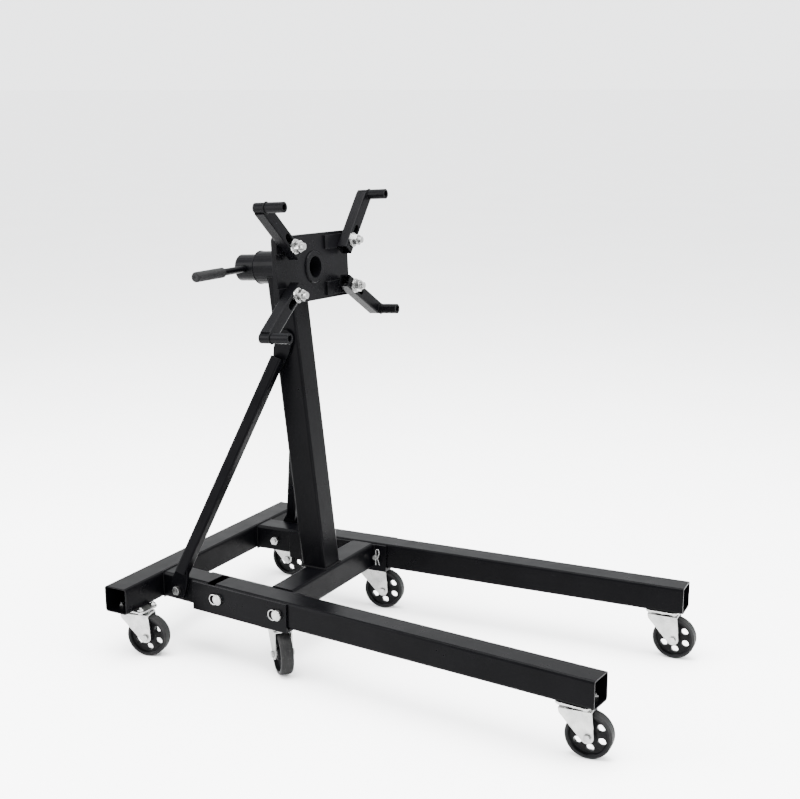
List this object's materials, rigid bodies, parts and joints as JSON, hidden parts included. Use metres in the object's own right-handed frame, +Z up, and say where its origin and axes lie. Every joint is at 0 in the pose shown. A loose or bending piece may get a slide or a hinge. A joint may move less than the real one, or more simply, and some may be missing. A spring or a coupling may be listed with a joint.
{
  "type": "engine stand",
  "caption": "Folding engine stand in black powder coat, with a rotating mounting head on a braced column, slotted adjustable arms, zinc swivel casters and legs that fold up beside the column.",
  "frame": {"origin": "on the floor under the middle of the box round the stand at rest", "axes": "+X points forward along the legs, +Y to the left as seen by somebody behind the column facing forward, +Z up"},
  "size_m": [1.2303, 0.733, 1.0842],
  "materials": {
    "black_paint": "black powder coat, semi-gloss, on welded square steel tube",
    "zinc": "bright zinc plate on casters, bolts, nuts and pins",
    "rubber": "dark grey moulded rubber sleeve, matte",
    "wheel_plastic": "hard black moulded wheels, satin, lighter where the tread has worn"
  },
  "bodies": {
    "stand": {"rear_crossbar": "black_paint", "middle_crossbar": "black_paint", "column": "black_paint", "left_stub": "black_paint", "left_socket": "black_paint", "left_brace": "black_paint", "left_pivot_pin": "zinc", "left_lock_pin": "zinc", "left_brace_foot_bolt": "zinc", "right_stub": "black_paint", "right_socket": "black_paint", "right_brace": "black_paint", "right_pivot_pin": "zinc", "right_lock_pin": "zinc", "right_brace_foot_bolt": "zinc", "brace_top_bolt": "zinc", "head_sleeve": "black_paint", "rear_left_caster_plate": "zinc", "rear_right_caster_plate": "zinc", "middle_left_caster_plate": "zinc", "middle_right_caster_plate": "zinc"},
    "head": {"head_spindle": "black_paint", "mounting_plate": "black_paint", "handle_bar": "black_paint", "handle_grip": "rubber"},
    "upper_left_arm_pivot": {"upper_left_bolt": "zinc", "upper_left_nut": "zinc"},
    "upper_left_arm_slider": {"upper_left_arm": "black_paint"},
    "lower_left_arm_pivot": {"lower_left_bolt": "zinc", "lower_left_nut": "zinc"},
    "lower_left_arm_slider": {"lower_left_arm": "black_paint"},
    "upper_right_arm_pivot": {"upper_right_bolt": "zinc", "upper_right_nut": "zinc"},
    "upper_right_arm_slider": {"upper_right_arm": "black_paint"},
    "lower_right_arm_pivot": {"lower_right_bolt": "zinc", "lower_right_nut": "zinc"},
    "lower_right_arm_slider": {"lower_right_arm": "black_paint"},
    "left_leg_assembly": {"left_leg": "black_paint", "front_left_caster_plate": "zinc"},
    "right_leg_assembly": {"right_leg": "black_paint", "front_right_caster_plate": "zinc"},
    "rear_left_caster": {"rear_left_fork": "zinc", "rear_left_axle": "zinc"},
    "rear_left_wheel_body": {"rear_left_wheel": "wheel_plastic"},
    "rear_right_caster": {"rear_right_fork": "zinc", "rear_right_axle": "zinc"},
    "rear_right_wheel_body": {"rear_right_wheel": "wheel_plastic"},
    "middle_left_caster": {"middle_left_fork": "zinc", "middle_left_axle": "zinc"},
    "middle_left_wheel_body": {"middle_left_wheel": "wheel_plastic"},
    "middle_right_caster": {"middle_right_fork": "zinc", "middle_right_axle": "zinc"},
    "middle_right_wheel_body": {"middle_right_wheel": "wheel_plastic"},
    "front_left_caster": {"front_left_fork": "zinc", "front_left_axle": "zinc"},
    "front_left_wheel_body": {"front_left_wheel": "wheel_plastic"},
    "front_right_caster": {"front_right_fork": "zinc", "front_right_axle": "zinc"},
    "front_right_wheel_body": {"front_right_wheel": "wheel_plastic"}
  },
  "joints": [
    {"name": "head_spin", "type": "hinge", "parent": "stand", "child": "head", "pos_m": [-0.24812, 0, 0.913], "axis": [0.9976, 0, 0.0698], "continuous": true},
    {"name": "upper_left_arm_swivel", "type": "hinge", "parent": "head", "child": "upper_left_arm_pivot", "pos_m": [-0.25154, 0.12726, 0.96188], "axis": [0.9976, 0, 0.0698], "range_deg": [-40, 40]},
    {"name": "upper_left_arm_slide", "type": "slide", "parent": "upper_left_arm_pivot", "child": "upper_left_arm_slider", "axis": [-0.0517, 0.6717, 0.739], "range_m": [-0.034, 0.011]},
    {"name": "lower_left_arm_swivel", "type": "hinge", "parent": "head", "child": "lower_left_arm_pivot", "pos_m": [-0.24394, 0.1225, 0.85325], "axis": [0.9976, 0, 0.0698], "range_deg": [-40, 40]},
    {"name": "lower_left_arm_slide", "type": "slide", "parent": "lower_left_arm_pivot", "child": "lower_left_arm_slider", "axis": [0.0375, 0.8434, -0.536], "range_m": [-0.034, 0.011]},
    {"name": "upper_right_arm_swivel", "type": "hinge", "parent": "head", "child": "upper_right_arm_pivot", "pos_m": [-0.2523, -0.1225, 0.97275], "axis": [0.9976, 0, 0.0698], "range_deg": [-40, 40]},
    {"name": "upper_right_arm_slide", "type": "slide", "parent": "upper_right_arm_pivot", "child": "upper_right_arm_slider", "axis": [-0.0483, -0.7218, 0.6905], "range_m": [-0.034, 0.011]},
    {"name": "lower_right_arm_swivel", "type": "hinge", "parent": "head", "child": "lower_right_arm_pivot", "pos_m": [-0.2447, -0.12726, 0.86412], "axis": [0.9976, 0, 0.0698], "range_deg": [-40, 40]},
    {"name": "lower_right_arm_slide", "type": "slide", "parent": "lower_right_arm_pivot", "child": "lower_right_arm_slider", "axis": [0.0396, -0.8231, -0.5665], "range_m": [-0.036, 0.009]},
    {"name": "left_leg_fold", "type": "hinge", "parent": "stand", "child": "left_leg_assembly", "pos_m": [-0.37159, 0.21003, 0.151], "axis": [0.0724, -0.9974, 0], "range_deg": [0, 65]},
    {"name": "right_leg_fold", "type": "hinge", "parent": "stand", "child": "right_leg_assembly", "pos_m": [-0.37159, -0.21003, 0.151], "axis": [-0.0724, -0.9974, 0], "range_deg": [0, 65]},
    {"name": "rear_left_caster_swivel", "type": "hinge", "parent": "stand", "child": "rear_left_caster", "pos_m": [-0.56862, 0.308, 0], "axis": [0, 0, 1], "continuous": true},
    {"name": "rear_left_wheel_roll", "type": "hinge", "parent": "rear_left_caster", "child": "rear_left_wheel_body", "pos_m": [-0.54168, 0.30988, 0.05], "axis": [-0.0698, 0.9976, 0], "continuous": true},
    {"name": "rear_right_caster_swivel", "type": "hinge", "parent": "stand", "child": "rear_right_caster", "pos_m": [-0.56862, -0.308, 0], "axis": [0, 0, 1], "continuous": true},
    {"name": "rear_right_wheel_roll", "type": "hinge", "parent": "rear_right_caster", "child": "rear_right_wheel_body", "pos_m": [-0.54242, -0.30147, 0.05], "axis": [-0.2419, 0.9703, 0], "continuous": true},
    {"name": "middle_left_caster_swivel", "type": "hinge", "parent": "stand", "child": "middle_left_caster", "pos_m": [-0.22099, 0.22095, 0], "axis": [0, 0, 1], "continuous": true},
    {"name": "middle_left_wheel_roll", "type": "hinge", "parent": "middle_left_caster", "child": "middle_left_wheel_body", "pos_m": [-0.19459, 0.22664, 0.05], "axis": [-0.2105, 0.9776, 0], "continuous": true},
    {"name": "middle_right_caster_swivel", "type": "hinge", "parent": "stand", "child": "middle_right_caster", "pos_m": [-0.22099, -0.22095, 0], "axis": [0, 0, 1], "continuous": true},
    {"name": "middle_right_wheel_roll", "type": "hinge", "parent": "middle_right_caster", "child": "middle_right_wheel_body", "pos_m": [-0.20097, -0.23907, 0.05], "axis": [0.6711, 0.7414, 0], "continuous": true},
    {"name": "front_left_caster_swivel", "type": "hinge", "parent": "left_leg_assembly", "child": "front_left_caster", "pos_m": [0.53802, 0.27603, 0], "axis": [0, 0, 1], "continuous": true},
    {"name": "front_left_wheel_roll", "type": "hinge", "parent": "front_left_caster", "child": "front_left_wheel_body", "pos_m": [0.56495, 0.27798, 0.05], "axis": [-0.0724, 0.9974, 0], "continuous": true},
    {"name": "front_right_caster_swivel", "type": "hinge", "parent": "right_leg_assembly", "child": "front_right_caster", "pos_m": [0.53802, -0.27603, 0], "axis": [0, 0, 1], "continuous": true},
    {"name": "front_right_wheel_roll", "type": "hinge", "parent": "front_right_caster", "child": "front_right_wheel_body", "pos_m": [0.56488, -0.27327, 0.05], "axis": [-0.1019, 0.9948, 0], "continuous": true}
  ]
}
